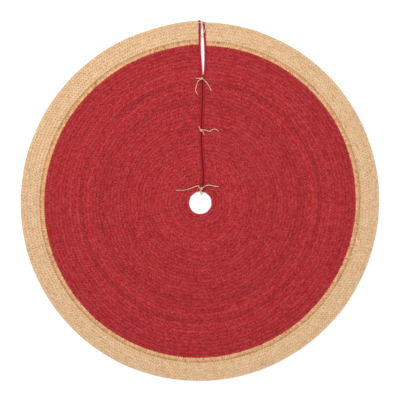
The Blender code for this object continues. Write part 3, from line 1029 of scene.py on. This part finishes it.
class SKIRT_OT_ties(bpy.types.Operator):
    """Lay the twine ties and their knots across the slit"""

    bl_idname = "skirt.ties"
    bl_label = "Twine Ties"

    def execute(self, context):
        trim = context.scene.skirt_trim
        material = fibre_material(
            "jute_twine_fibre", trim.twine, trim.pale_twine, trim.twine_speck, 0.40, streak_size=3.0
        )
        centres = {}
        for number, (name, (side, shift)) in enumerate(KNOTS.items()):
            low, high = (Vector(corner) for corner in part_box(name))
            centre = (low + high) / 2 + Vector((-side * shift, 0, 0))
            centres[name.rpartition("_")[0]] = centre
            path = knot_path(centre, 0.5 + number * 1.9)
            thickness = trim.twine_diameter * KNOT_TWINE
            tubes = twine_plies(path, thickness, trim.twine_pitch, "", number + 40, closed=True)
            knot = rings_to_mesh(f"{name}_twine", tubes, material, SIDE_BODY[side])
            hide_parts(name)
        for number, (name, (side, free, route)) in enumerate(TWINES.items()):
            centre = centres[name[: name.index("_tie") + 4]]
            places = [Vector((x, y, FACE_Z + height)) for x, y, height in route]
            if "start" not in free:
                places.insert(0, places[0].lerp(centre, KNOT_LEAD))
            if "end" not in free:
                places.append(places[-1].lerp(centre, KNOT_LEAD))
            path = smooth_route(places, 0.0010)
            length = float(np.linalg.norm(np.diff(path, axis=0), axis=1).sum())
            tubes = twine_plies(path, trim.twine_diameter, trim.twine_pitch, free, number)
            piece = rings_to_mesh(f"{name}_twine", tubes, material, SIDE_BODY[side])
            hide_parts(name)
            hairs = stray_fibres(path, trim.twine_diameter, int(length * TWINE_HAIRS), 90 + number, free)
            fuzz = rings_to_mesh(f"{name}_fuzz", hairs, material, SIDE_BODY[side])
        return {"FINISHED"}


# ---- stage


FLOOR_HALF = 8.0
FLOOR_DROP = 0.0004  # keeps the floor clear of the mat's underside
SKY_STRENGTH = 0.75
# Each light's name, place, width and power in watts
LIGHTS = (
    ("key_light", (-1.1, 1.6, 2.6), 1.6, 63.0),
    ("fill_light", (1.8, -1.2, 2.8), 2.4, 27.0),
)


class SKIRT_OT_camera(bpy.types.Operator):
    """Look straight down on the skirt"""

    bl_idname = "skirt.camera"
    bl_label = "Camera"

    def execute(self, context):
        look = context.scene.skirt_stage
        lens = bpy.data.cameras.new("overhead")
        lens.lens = 85
        lens.sensor_width = 36
        lens.clip_end = 50
        camera = bpy.data.objects.new("overhead", lens)
        context.collection.objects.link(camera)
        camera.location = (*look.view_centre, look.view_width * lens.lens / lens.sensor_width)
        context.scene.camera = camera
        return {"FINISHED"}


class SKIRT_OT_stage(bpy.types.Operator):
    """Lay the pale floor and hang soft lights above it"""

    bl_idname = "skirt.stage"
    bl_label = "Floor and Lights"

    def execute(self, context):
        look = context.scene.skirt_stage
        mesh = bpy.data.meshes.new("floor")
        corners = [(x * FLOOR_HALF, y * FLOOR_HALF, 0) for x, y in ((-1, -1), (1, -1), (1, 1), (-1, 1))]
        mesh.from_pydata(corners, [], [(0, 1, 2, 3)])
        floor = bpy.data.objects.new("floor", mesh)
        floor.location.z = -FLOOR_DROP
        context.collection.objects.link(floor)
        mesh.materials.append(plain_material("pale_floor", look.floor, 0.9))
        for name, place, size, power in LIGHTS:
            lamp = bpy.data.lights.new(name, "AREA")
            lamp.size = size
            lamp.energy = power
            light = bpy.data.objects.new(name, lamp)
            light.location = place
            light.rotation_euler = (-Vector(place)).to_track_quat("-Z", "Y").to_euler()
            context.collection.objects.link(light)
        world = bpy.data.worlds.new("studio")
        world.use_nodes = True
        sky = world.node_tree.nodes["Background"]
        sky.inputs["Color"].default_value = (1.0, 1.0, 1.0, 1.0)
        sky.inputs["Strength"].default_value = SKY_STRENGTH
        context.scene.world = world
        context.scene.view_settings.view_transform = "Standard"
        return {"FINISHED"}


class SKIRT_PT_panel(bpy.types.Panel):
    """Sizes, colours and the steps that make the skirt"""

    bl_idname = "SKIRT_PT_panel"
    bl_label = "Tree Skirt"
    bl_space_type = "VIEW_3D"
    bl_region_type = "UI"
    bl_category = "Tree Skirt"

    def draw(self, context):
        for label, group in PROPERTY_GROUPS.items():
            box = self.layout.box()
            box.label(text=group.__doc__)
            settings = getattr(context.scene, label)
            for name in group.__annotations__:
                box.prop(settings, name)
        for operator in OPERATORS:
            self.layout.operator(operator.bl_idname)


OPERATORS = (
    SKIRT_OT_camera,
    SKIRT_OT_ties,
    SKIRT_OT_field,
    SKIRT_OT_accent,
    SKIRT_OT_border,
    SKIRT_OT_binding,
    SKIRT_OT_stitches,
    SKIRT_OT_stage,
)
PROPERTY_GROUPS = {
    "skirt_mat": MatSizes,
    "skirt_braid": BraidLook,
    "skirt_trim": TrimLook,
    "skirt_stage": StageLook,
}


def register():
    """Add the sizes, the operators and the panel."""
    for item in (*PROPERTY_GROUPS.values(), *OPERATORS, SKIRT_PT_panel):
        bpy.utils.register_class(item)
    for label, group in PROPERTY_GROUPS.items():
        setattr(bpy.types.Scene, label, bpy.props.PointerProperty(type=group))


def unregister():
    """Take them away again."""
    for label in PROPERTY_GROUPS:
        delattr(bpy.types.Scene, label)
    for item in (SKIRT_PT_panel, *reversed(OPERATORS), *PROPERTY_GROUPS.values()):
        bpy.utils.unregister_class(item)


def main():
    """Make the skirt piece by piece."""
    register()
    bpy.ops.skirt.camera()
    bpy.ops.skirt.ties()
    bpy.ops.skirt.field()
    bpy.ops.skirt.accent()
    bpy.ops.skirt.border()
    bpy.ops.skirt.binding()
    bpy.ops.skirt.stitches()
    bpy.ops.skirt.stage()


if __name__ == "__main__":
    main()
